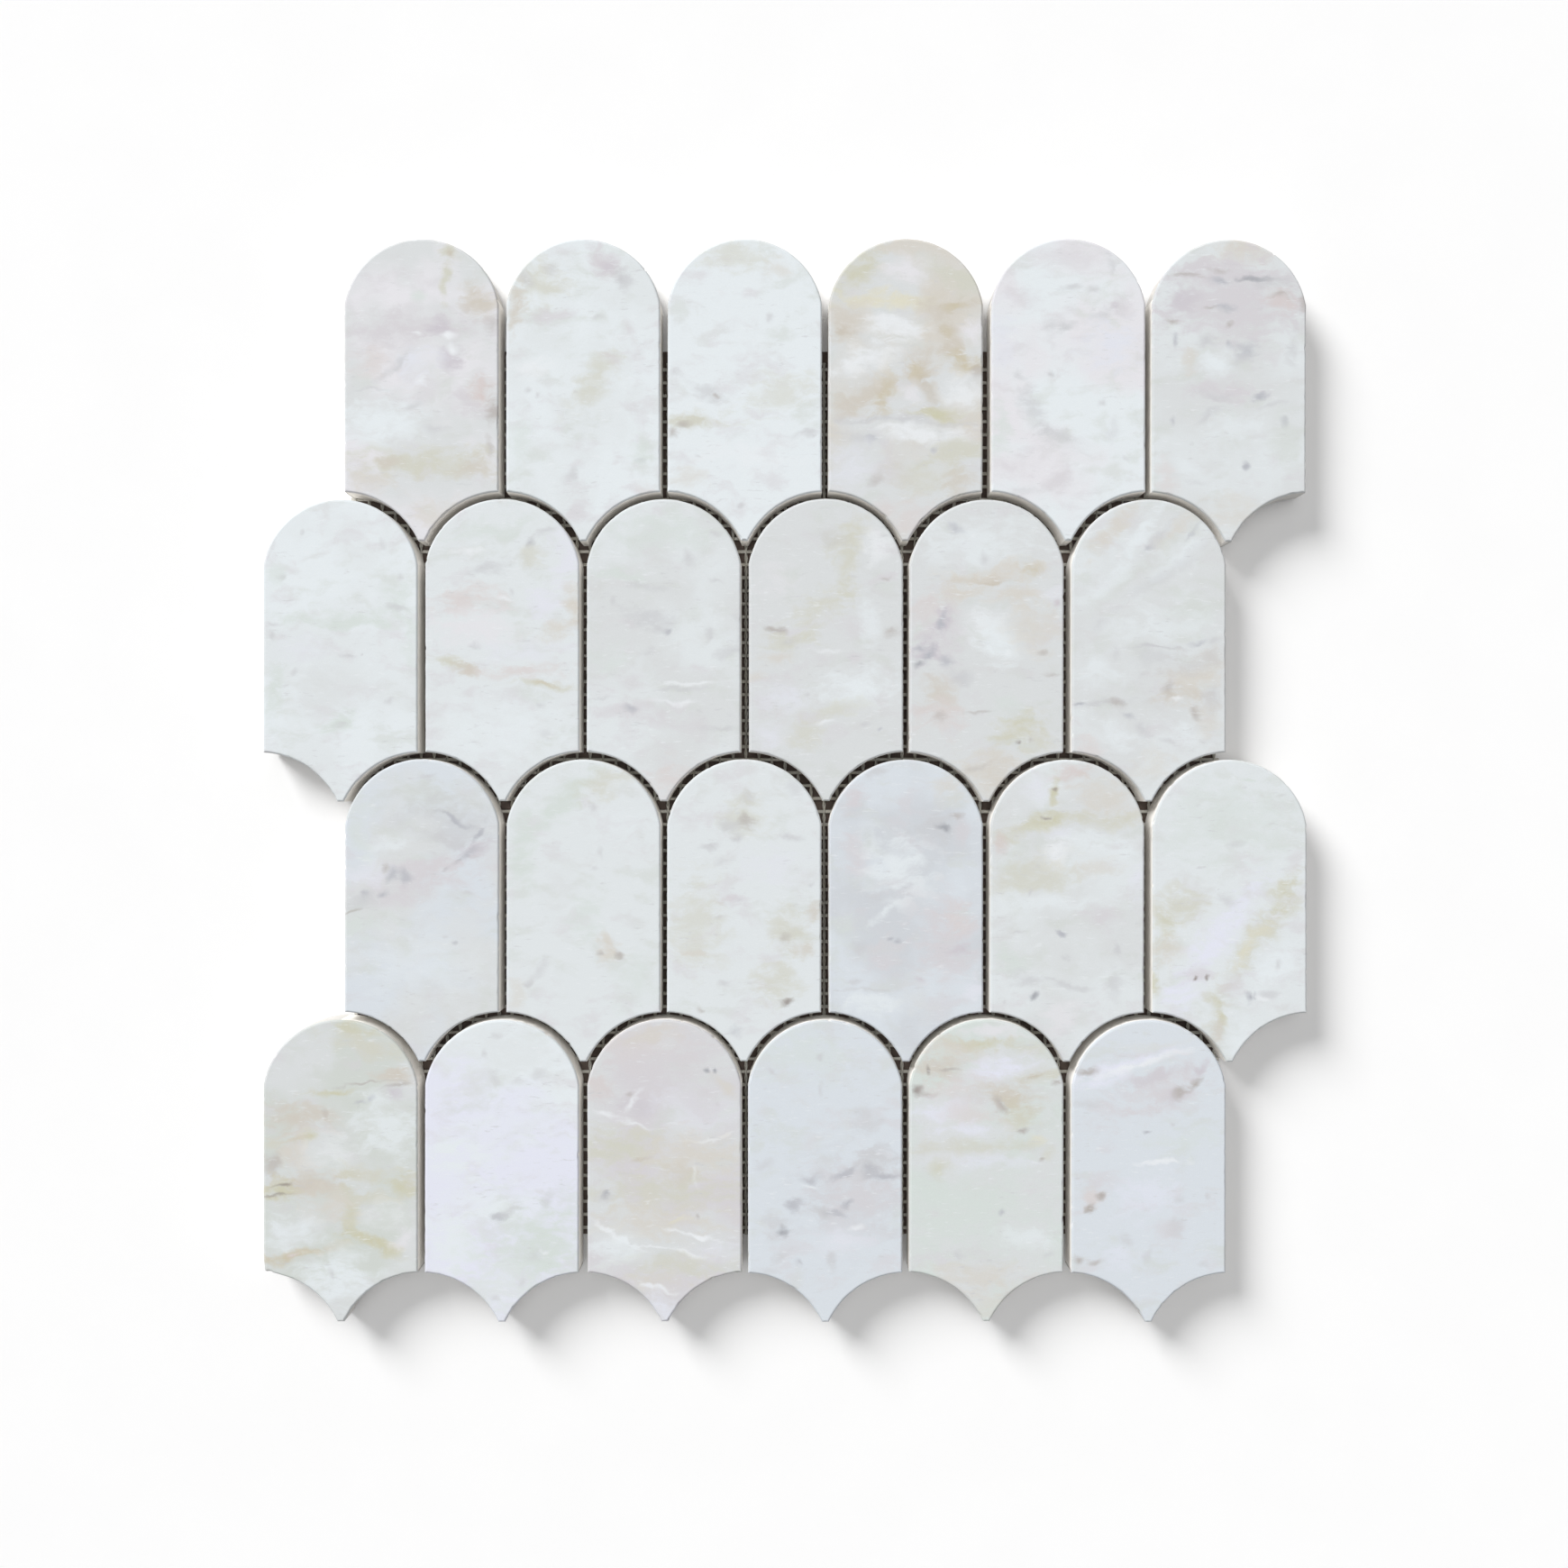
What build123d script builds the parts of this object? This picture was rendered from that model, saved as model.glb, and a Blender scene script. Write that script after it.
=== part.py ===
"""Sheet of arch-headed marble mosaic stones on a glass-fibre mesh, lying face up.

Each stone has an arched head, straight sides and two concave bites at its foot, so that it
nests over the heads of the two stones below it with the same joint all round. Rows are set
half a stone out of line. The stones are bonded to an open mesh of crossing strands, which is
trimmed back so that the next sheet can interlock on every side.

Millimetres. X runs along a row, +Y points from the feet to the heads, +Z out of the face.
The origin is under the middle of the sheet, on the plane that the mesh lies on.
"""

from math import floor, sqrt
import os

from build123d import *

# Pattern
row_pitch = 72.5  # from one crown to the crown of the row below
joint_width = 2.0
columns = 6
rows = 4

# Stone
stone_width = 43.0
stone_thickness = 9.4
arch_rise = 18.2  # from the top of the straight sides up to the crown
tip_width = 1.9  # blunt end between the two bites
arris = 0.6  # chamfer round the polished face

# Mesh
strand_pitch = 3.7
strand_width = 1.1
strand_thickness = 0.3
mesh_top_setback = 32.0  # from the crowns of the top row down to the mesh
mesh_foot_setback = 8.0  # from the shoulders of the bottom row up to the mesh
mesh_overhang = 0.7  # cut ends of the cross strands, past the stones' sides

# Shape of one stone, measured from the centre of its arch
half_width = stone_width / 2
arch_radius = (half_width**2 + arch_rise**2) / (2 * arch_rise)
column_pitch = stone_width + joint_width
bite_radius = arch_radius + joint_width
bite_centre_x = column_pitch / 2


def leg(hypotenuse, other_leg):
    return sqrt(hypotenuse**2 - other_leg**2)


spring_height = leg(arch_radius, half_width)
shoulder_height = leg(bite_radius, bite_centre_x - half_width) - row_pitch
tip_height = leg(bite_radius, bite_centre_x - tip_width / 2) - row_pitch

# Sheet, centred on the origin
row_shift = column_pitch / 4
sheet_height = (rows - 1) * row_pitch + arch_radius - tip_height
top_arch_y = sheet_height / 2 - arch_radius
side_reach = (columns - 1) * column_pitch / 2 + half_width  # half the length of a row
mesh_thickness = 2 * strand_thickness
mesh_top_y = sheet_height / 2 - mesh_top_setback


def arch_centre_y(row):
    return top_arch_y - row * row_pitch


def shift_of(row):
    """Rows go right and left by turns, the top row to the right."""
    return row_shift if row % 2 == 0 else -row_shift


mesh_foot_y = arch_centre_y(rows - 1) + shoulder_height + mesh_foot_setback


def stone_outline(inset, height):
    """Outline of one stone at a height, moved in by the inset all round."""
    side = half_width - inset
    head = arch_radius - inset
    bite = bite_radius + inset
    spring_y = leg(head, side)
    tip_y = tip_height + inset
    tip_x = bite_centre_x - leg(bite, row_pitch + tip_y)
    middle_x = (side + tip_x) / 2

    def foot(x):
        return x, leg(bite, bite_centre_x - abs(x)) - row_pitch

    with BuildSketch(Plane.XY.offset(height)) as outline:
        with BuildLine():
            ThreePointArc((-side, spring_y), (0, head), (side, spring_y))
            Line((side, spring_y), foot(side))
            ThreePointArc(foot(side), foot(middle_x), foot(tip_x))
            Line(foot(tip_x), foot(-tip_x))
            ThreePointArc(foot(-tip_x), foot(-middle_x), foot(-side))
            Line(foot(-side), (-side, spring_y))
        make_face()
    return outline.sketch


def make_stone():
    """One stone on top of the mesh: straight walls, then a chamfer up to the polished face."""
    face_height = mesh_thickness + stone_thickness
    sections = [
        stone_outline(0, mesh_thickness),
        stone_outline(0, face_height - arris),
        stone_outline(arris, face_height),
    ]
    return loft(sections, ruled=True)


def strand_places(low, high):
    """Middles of evenly spaced strands between two limits, with one strand on the middle line."""
    middle = (low + high) / 2
    reach = floor((high - low - strand_width) / 2 / strand_pitch)
    return [middle + i * strand_pitch for i in range(-reach, reach + 1)]


def side_span(row):
    """Lowest and highest y of the mesh under the straight sides of a row's end stones."""
    low = max(arch_centre_y(row) + shoulder_height, mesh_foot_y)
    high = min(arch_centre_y(row) + spring_height, mesh_top_y)
    return low, high


def strand_bar(low_x, high_x, low_y, high_y, base):
    centre = ((low_x + high_x) / 2, (low_y + high_y) / 2, base)
    align = (Align.CENTER, Align.CENTER, Align.MIN)
    return Pos(*centre) * Box(high_x - low_x, high_y - low_y, strand_thickness, align=align)


def make_long_strands():
    """Lower layer: strands from the feet to the heads, also under the half stones that stand out."""
    bars = []
    for x in strand_places(-side_reach - row_shift, side_reach + row_shift):
        spans = [(mesh_foot_y, mesh_top_y)]
        if abs(x) + strand_width / 2 > side_reach - row_shift:
            spans = [side_span(row) for row in range(rows) if x * shift_of(row) > 0]
        for low_y, high_y in spans:
            bars.append(strand_bar(x - strand_width / 2, x + strand_width / 2, low_y, high_y, 0))
    return Compound(bars)


def make_cross_strands():
    """Upper layer: strands along the rows, cut off just past the stones at the sides."""
    bars = []
    for y in strand_places(mesh_foot_y, mesh_top_y):
        left = right = side_reach - row_shift
        for row in range(rows):
            low_y, high_y = side_span(row)
            if low_y + strand_width / 2 <= y <= high_y - strand_width / 2:
                left = side_reach - shift_of(row)
                right = side_reach + shift_of(row)
        low_x = -left - mesh_overhang
        high_x = right + mesh_overhang
        bars.append(strand_bar(low_x, high_x, y - strand_width / 2, y + strand_width / 2, strand_thickness))
    return Compound(bars)


os.makedirs("parts", exist_ok=True)

stone = make_stone()
for row in range(rows):
    for column in range(columns):
        x = (column - (columns - 1) / 2) * column_pitch + shift_of(row)
        placed = Pos(x, arch_centre_y(row), 0) * stone
        export_step(placed, f"parts/stone_row{row + 1}_col{column + 1}.step")

export_step(make_long_strands(), "parts/mesh_long_strands.step")
export_step(make_cross_strands(), "parts/mesh_cross_strands.step")
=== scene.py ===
import math
from random import Random

import bpy
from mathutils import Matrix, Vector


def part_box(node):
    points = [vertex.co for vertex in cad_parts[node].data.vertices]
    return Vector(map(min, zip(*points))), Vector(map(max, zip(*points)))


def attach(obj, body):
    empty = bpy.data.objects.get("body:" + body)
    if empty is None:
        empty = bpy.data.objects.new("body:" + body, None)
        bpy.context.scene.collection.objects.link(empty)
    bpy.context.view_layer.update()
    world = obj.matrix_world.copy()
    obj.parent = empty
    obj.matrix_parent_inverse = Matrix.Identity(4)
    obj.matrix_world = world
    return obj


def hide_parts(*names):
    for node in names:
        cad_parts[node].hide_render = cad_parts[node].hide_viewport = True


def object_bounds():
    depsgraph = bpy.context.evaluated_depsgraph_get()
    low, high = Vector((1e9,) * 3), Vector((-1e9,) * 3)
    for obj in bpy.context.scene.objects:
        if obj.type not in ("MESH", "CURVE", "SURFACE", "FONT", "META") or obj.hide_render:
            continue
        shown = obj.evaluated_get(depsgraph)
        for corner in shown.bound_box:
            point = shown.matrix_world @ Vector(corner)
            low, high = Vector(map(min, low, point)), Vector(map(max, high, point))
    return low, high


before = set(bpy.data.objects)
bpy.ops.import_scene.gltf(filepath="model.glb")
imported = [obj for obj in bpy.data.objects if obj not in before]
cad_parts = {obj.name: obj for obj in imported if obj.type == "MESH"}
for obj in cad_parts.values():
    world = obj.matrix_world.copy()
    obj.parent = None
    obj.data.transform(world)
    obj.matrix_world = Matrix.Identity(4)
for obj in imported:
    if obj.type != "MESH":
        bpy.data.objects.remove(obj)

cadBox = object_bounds()
scene = bpy.context.scene
mm = 0.001
print("frame loaded with", len(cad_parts), "nodes")


# small helpers for node trees

def plug(tree, socket, value):  # a socket gets a link, anything else is a plain value
    if isinstance(value, bpy.types.NodeSocket):
        tree.links.new(value, socket)
    else:
        socket.default_value = value


def addNode(tree, kind, inputs=None, **settings):
    made = tree.nodes.new(kind)
    for name, value in settings.items():
        setattr(made, name, value)
    for name, value in (inputs or {}).items():
        plug(tree, made.inputs[name], value)
    return made


def shape(tree, kind, inputs=None, **settings):  # a Geometry Nodes step, known by its first output
    return addNode(tree, "GeometryNode" + kind, inputs, **settings).outputs[0]


def calc(tree, operation, *values):
    return addNode(tree, "ShaderNodeMath", dict(enumerate(values)), operation=operation).outputs[0]


def vec(tree, operation, *values):
    made = addNode(tree, "ShaderNodeVectorMath", operation=operation)
    sockets = [s for s in made.inputs if s.enabled]
    for socket, value in zip(sockets, values):
        plug(tree, socket, value)
    return made.outputs["Value" if operation in ("LENGTH", "DISTANCE") else "Vector"]


def xyz(tree, x, y, z):
    return addNode(tree, "ShaderNodeCombineXYZ", {"X": x, "Y": y, "Z": z}).outputs[0]


def axesOf(tree, vector):
    return addNode(tree, "ShaderNodeSeparateXYZ", {"Vector": vector}).outputs


def ramp(tree, value, low, high, toLow=0.0, toHigh=1.0):  # smooth step between two limits
    inputs = {"Value": value, "From Min": low, "From Max": high, "To Min": toLow, "To Max": toHigh}
    return addNode(tree, "ShaderNodeMapRange", inputs, interpolation_type="SMOOTHSTEP").outputs[0]


def noise(tree, vector, scale, detail=2.0, roughness=0.5, output=0):
    if isinstance(scale, tuple):  # a scale for each axis
        vector, scale = vec(tree, "MULTIPLY", vector, scale), 1.0
    inputs = {"Vector": vector, "Scale": scale, "Detail": detail, "Roughness": roughness}
    return addNode(tree, "ShaderNodeTexNoise", inputs).outputs[output]


def blendColour(tree, factor, a, b):
    return addNode(tree, "ShaderNodeMix", {0: factor, 6: a, 7: b}, data_type="RGBA").outputs[2]


def newMaterial(name):
    material = bpy.data.materials.new(name)
    material.use_nodes = True
    tree = material.node_tree
    where = addNode(tree, "ShaderNodeTexCoord").outputs["Object"]
    return material, tree, tree.nodes["Principled BSDF"].inputs, where


def newGeometryTree(name, sizes):
    tree = bpy.data.node_groups.new(name, "GeometryNodeTree")
    tree.interface.new_socket("Geometry", in_out="OUTPUT", socket_type="NodeSocketGeometry")
    for label, kind in sizes.items():
        tree.interface.new_socket(label, in_out="INPUT", socket_type="NodeSocket" + kind)
    return tree, addNode(tree, "NodeGroupInput").outputs


def joinAll(tree, parts):
    joined = addNode(tree, "GeometryNodeJoinGeometry")
    for part in parts:
        tree.links.new(part, joined.inputs[0])
    return joined.outputs[0]


def endGeometryTree(tree, geometry, material):
    real = shape(tree, "RealizeInstances", {"Geometry": geometry})
    real = shape(tree, "SetMaterial", {"Geometry": real, "Material": material})
    tree.links.new(real, addNode(tree, "NodeGroupOutput").inputs[0])


def growMesh(name, tree, sizes, mesh=None):  # runs a tree once and keeps the plain mesh
    piece = bpy.data.objects.new(name, mesh or bpy.data.meshes.new(name))
    scene.collection.objects.link(piece)
    modifier = piece.modifiers.new("grow", "NODES")
    modifier.node_group = tree
    for item in tree.interface.items_tree:
        if item.in_out == "INPUT" and item.name in sizes:
            modifier[item.identifier] = sizes[item.name]
    graph = bpy.context.evaluated_depsgraph_get()
    evaluated = piece.evaluated_get(graph)
    grown = bpy.data.meshes.new_from_object(evaluated, preserve_all_data_layers=True, depsgraph=graph)
    piece.modifiers.clear()
    piece.data = grown
    grown.name = name
    return piece


def tone(red, green, blue):  # a colour as a picture shows it, 0 to 255
    def linear(level):
        level /= 255
        return level / 12.92 if level <= 0.04045 else ((level + 0.055) / 1.055) ** 2.4
    return linear(red), linear(green), linear(blue), 1.0


# stones

stoneSizes = {
    "Width": 43.0,  # millimetres, as the part has them
    "Arch Rise": 18.2,
    "Joint": 2.0,
    "Row Pitch": 72.5,
    "Tip Width": 1.9,
    "Base": 0.6,
    "Arris": 0.6,  # rounded edge of the polished face
    "Wobble": 0.1,
    "Nick": 0.3,
    "Corner Chip": 0.9,  # on one stone
    "chipped": (4, 1),  # its row and column
    "rows": 4, "columns": 6,
    "shift": 0.14, "turn": 0.16, "height": 0.08, "seed": 11,  # hand-laid: mm, degrees, mm
    "headPoints": 111, "sidePoints": 66, "bitePoints": 45, "tipPoints": 5, "wallPoints": 4, "arrisPoints": 6,
    "seedStep": 31.7, "waveScale": 0.35, "chipScale": 1.1, "nickScale": 0.55,
    "nickLimits": (0.6, 0.74),
    "chipLimits": (4.2, 0.4),  # millimetres from the corner
    "chipPull": (0.9, 1.3, 0.0),
    "wornWall": 1.6, "wornArris": 0.4,  # where nicks reach: millimetres of wall, share of the arris
    "sharpFrom": 38,  # degrees
    "weld": 0.004,
}


def makeStoneTree():
    kinds = {label: "Float" for label in stoneSizes if label.istitle()}  # capitalised sizes are inputs
    kinds.update({"Top": "Float", "Seed": "Float", "Turn": "Vector", "Place": "Vector", "Material": "Material"})
    tree, size = newGeometryTree("archStone", kinds)

    def times(a, b):
        return calc(tree, "MULTIPLY", a, b)

    def less(a, b):
        return calc(tree, "SUBTRACT", a, b)

    def point(x, y):
        return xyz(tree, x, y, 0.0)

    def moved(geometry, offset):
        return shape(tree, "SetPosition", {"Geometry": geometry, "Offset": offset})

    def lifted(geometry, height):
        return shape(tree, "Transform", {"Geometry": geometry, "Translation": xyz(tree, 0.0, 0.0, height)})

    halfWidth = times(size["Width"], 0.5)
    halfTip = times(size["Tip Width"], 0.5)
    squares = calc(tree, "ADD", calc(tree, "POWER", halfWidth, 2.0), calc(tree, "POWER", size["Arch Rise"], 2.0))
    archRadius = calc(tree, "DIVIDE", squares, times(size["Arch Rise"], 2.0))
    biteRadius = calc(tree, "ADD", archRadius, size["Joint"])
    spread = times(calc(tree, "ADD", size["Width"], size["Joint"]), 0.5)
    springAngle = calc(tree, "ARCCOSINE", calc(tree, "DIVIDE", halfWidth, archRadius))
    springY = times(archRadius, calc(tree, "SINE", springAngle))

    def biteAngle(x):  # where the bite passes a given x
        return calc(tree, "ARCCOSINE", calc(tree, "DIVIDE", less(x, spread), biteRadius))

    def biteHeight(angle):
        return less(times(biteRadius, calc(tree, "SINE", angle)), size["Row Pitch"])

    shoulderAngle, tipAngle = biteAngle(halfWidth), biteAngle(halfTip)
    shoulderY, tipY = biteHeight(shoulderAngle), biteHeight(tipAngle)
    biteSweep = less(tipAngle, shoulderAngle)

    def arc(points, radius, start, sweep, centre=(0.0, 0.0, 0.0)):
        inputs = {"Resolution": points, "Radius": radius, "Start Angle": start, "Sweep Angle": sweep}
        made = shape(tree, "CurveArc", inputs, mode="RADIUS")
        return shape(tree, "Transform", {"Geometry": made, "Translation": centre})

    def line(points, start, end):
        made = shape(tree, "CurvePrimitiveLine", {"Start": start, "End": end})
        return shape(tree, "ResampleCurve", {"Curve": made, "Count": points})

    def oneCurve(runs):  # runs that share their end points become one spline
        wires = shape(tree, "CurveToMesh", {"Curve": joinAll(tree, runs)})
        merged = shape(tree, "MergeByDistance", {"Geometry": wires, "Distance": 0.005})
        return shape(tree, "MeshToCurve", {"Mesh": merged})

    leftSide, leftTip = times(halfWidth, -1.0), times(halfTip, -1.0)
    leftSpread, biteY = times(spread, -1.0), times(size["Row Pitch"], -1.0)
    headSweep = less(math.pi, times(springAngle, 2.0))
    outline = oneCurve([
        arc(stoneSizes["headPoints"], archRadius, springAngle, headSweep),
        line(stoneSizes["sidePoints"], point(leftSide, springY), point(leftSide, shoulderY)),
        arc(stoneSizes["bitePoints"], biteRadius, less(math.pi, tipAngle), biteSweep, point(leftSpread, biteY)),
        line(stoneSizes["tipPoints"], point(leftTip, tipY), point(halfTip, tipY)),
        arc(stoneSizes["bitePoints"], biteRadius, shoulderAngle, biteSweep, point(spread, biteY)),
        line(stoneSizes["sidePoints"], point(halfWidth, shoulderY), point(halfWidth, springY)),
    ])
    outline = shape(tree, "SetCurveNormal", {"Curve": outline}, mode="Z_UP")

    # sides wander a little, and a corner can be chipped
    place = shape(tree, "InputPosition")
    facing = shape(tree, "InputNormal")
    seeded = vec(tree, "ADD", place, xyz(tree, 0.0, 0.0, times(size["Seed"], stoneSizes["seedStep"])))
    wave = less(noise(tree, seeded, stoneSizes["waveScale"], 3.0, 0.6), 0.5)
    wander = vec(tree, "SCALE", facing, times(wave, times(size["Wobble"], 2.0)))
    corner = vec(tree, "DISTANCE", place, point(leftSide, shoulderY))
    chip = times(ramp(tree, corner, *stoneSizes["chipLimits"]), size["Corner Chip"])
    chip = times(chip, noise(tree, seeded, stoneSizes["chipScale"], 2.0, 0.6))
    outline = moved(outline, vec(tree, "ADD", wander, vec(tree, "SCALE", stoneSizes["chipPull"], chip)))

    # section of the edge: wall and rounded arris; its y runs down
    arrisFoot = less(size["Arris"], size["Top"])
    minusArris = times(size["Arris"], -1.0)
    section = oneCurve([
        line(stoneSizes["wallPoints"], point(0.0, times(size["Base"], -1.0)), point(0.0, arrisFoot)),
        arc(stoneSizes["arrisPoints"], size["Arris"], 0.0, -math.pi / 2, point(minusArris, arrisFoot)),
    ])
    across = axesOf(tree, place)
    wornTop = ramp(tree, across["X"], minusArris, times(minusArris, stoneSizes["wornArris"]))
    wornSide = ramp(tree, across["Y"], calc(tree, "ADD", arrisFoot, stoneSizes["wornWall"]), arrisFoot)
    worn = {"Geometry": section, "Name": "worn", "Value": times(wornTop, wornSide)}
    section = shape(tree, "StoreNamedAttribute", worn)
    wall = shape(tree, "CurveToMesh", {"Curve": outline, "Profile Curve": section})

    inner = moved(outline, vec(tree, "SCALE", facing, minusArris))
    top = lifted(shape(tree, "FillCurve", {"Curve": inner}, mode="NGONS"), size["Top"])
    under = shape(tree, "FillCurve", {"Curve": outline}, mode="NGONS")
    under = lifted(shape(tree, "FlipFaces", {"Mesh": under}), size["Base"])
    whole = joinAll(tree, (wall, top, under))
    whole = shape(tree, "MergeByDistance", {"Geometry": whole, "Distance": stoneSizes["weld"]})

    wornHere = shape(tree, "InputNamedAttribute", {"Name": "worn"}, data_type="FLOAT")
    nick = ramp(tree, noise(tree, seeded, stoneSizes["nickScale"], 2.0, 0.55), *stoneSizes["nickLimits"])
    nick = times(times(nick, wornHere), times(size["Nick"], -1.0))
    whole = moved(whole, vec(tree, "SCALE", facing, nick))
    whole = shape(tree, "RemoveAttribute", {"Geometry": whole, "Name": "worn"})

    # flat faces and sharp edges stay crisp
    bend = addNode(tree, "GeometryNodeInputMeshEdgeAngle").outputs["Unsigned Angle"]
    sharp = calc(tree, "GREATER_THAN", bend, math.radians(stoneSizes["sharpFrom"]))
    curved = calc(tree, "LESS_THAN", calc(tree, "ABSOLUTE", axesOf(tree, facing)["Z"]), 0.9995)
    whole = shape(tree, "SetShadeSmooth", {"Geometry": whole, "Shade Smooth": curved}, domain="FACE")
    crisp = {"Geometry": whole, "Selection": sharp, "Shade Smooth": False}
    whole = shape(tree, "SetShadeSmooth", crisp, domain="EDGE")
    laying = {"Geometry": whole, "Translation": size["Place"], "Rotation": size["Turn"], "Scale": (mm, mm, mm)}
    endGeometryTree(tree, shape(tree, "Transform", laying), size["Material"])
    return tree


# marble

marbleTones = {
    "white": tone(236, 239, 242), "ice": tone(229, 235, 238), "cool": tone(224, 229, 231),
    "pearl": tone(229, 228, 232), "grey": tone(217, 220, 221), "paleBlue": tone(217, 223, 229),
    "lavender": tone(226, 228, 236), "lilac": tone(228, 230, 242), "mauve": tone(213, 210, 214),
    "violet": tone(203, 198, 205), "pink": tone(217, 210, 209), "rose": tone(213, 202, 200),
    "beige": tone(214, 210, 202), "sand": tone(207, 201, 191), "olive": tone(209, 209, 197),
    "moss": tone(203, 201, 176), "cream": tone(222, 219, 200), "tan": tone(196, 187, 172),
    "ochre": tone(202, 193, 170), "green": tone(213, 221, 217), "haze": tone(208, 213, 208),
    "smoke": tone(202, 203, 206), "dim": tone(207, 211, 216), "slate": tone(183, 185, 192),
    "ash": tone(164, 166, 172), "umber": tone(180, 174, 170), "brown": tone(150, 141, 137),
    "wallPaintedLightAndShade": tone(254, 251, 246),  # walls in the joints, near white: painted light
    "paintedShadeGrey": tone(208, 205, 200),  # painted shade on walls that face no other stone, held darker against the key lamp; undersides take the same grey
}

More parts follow.
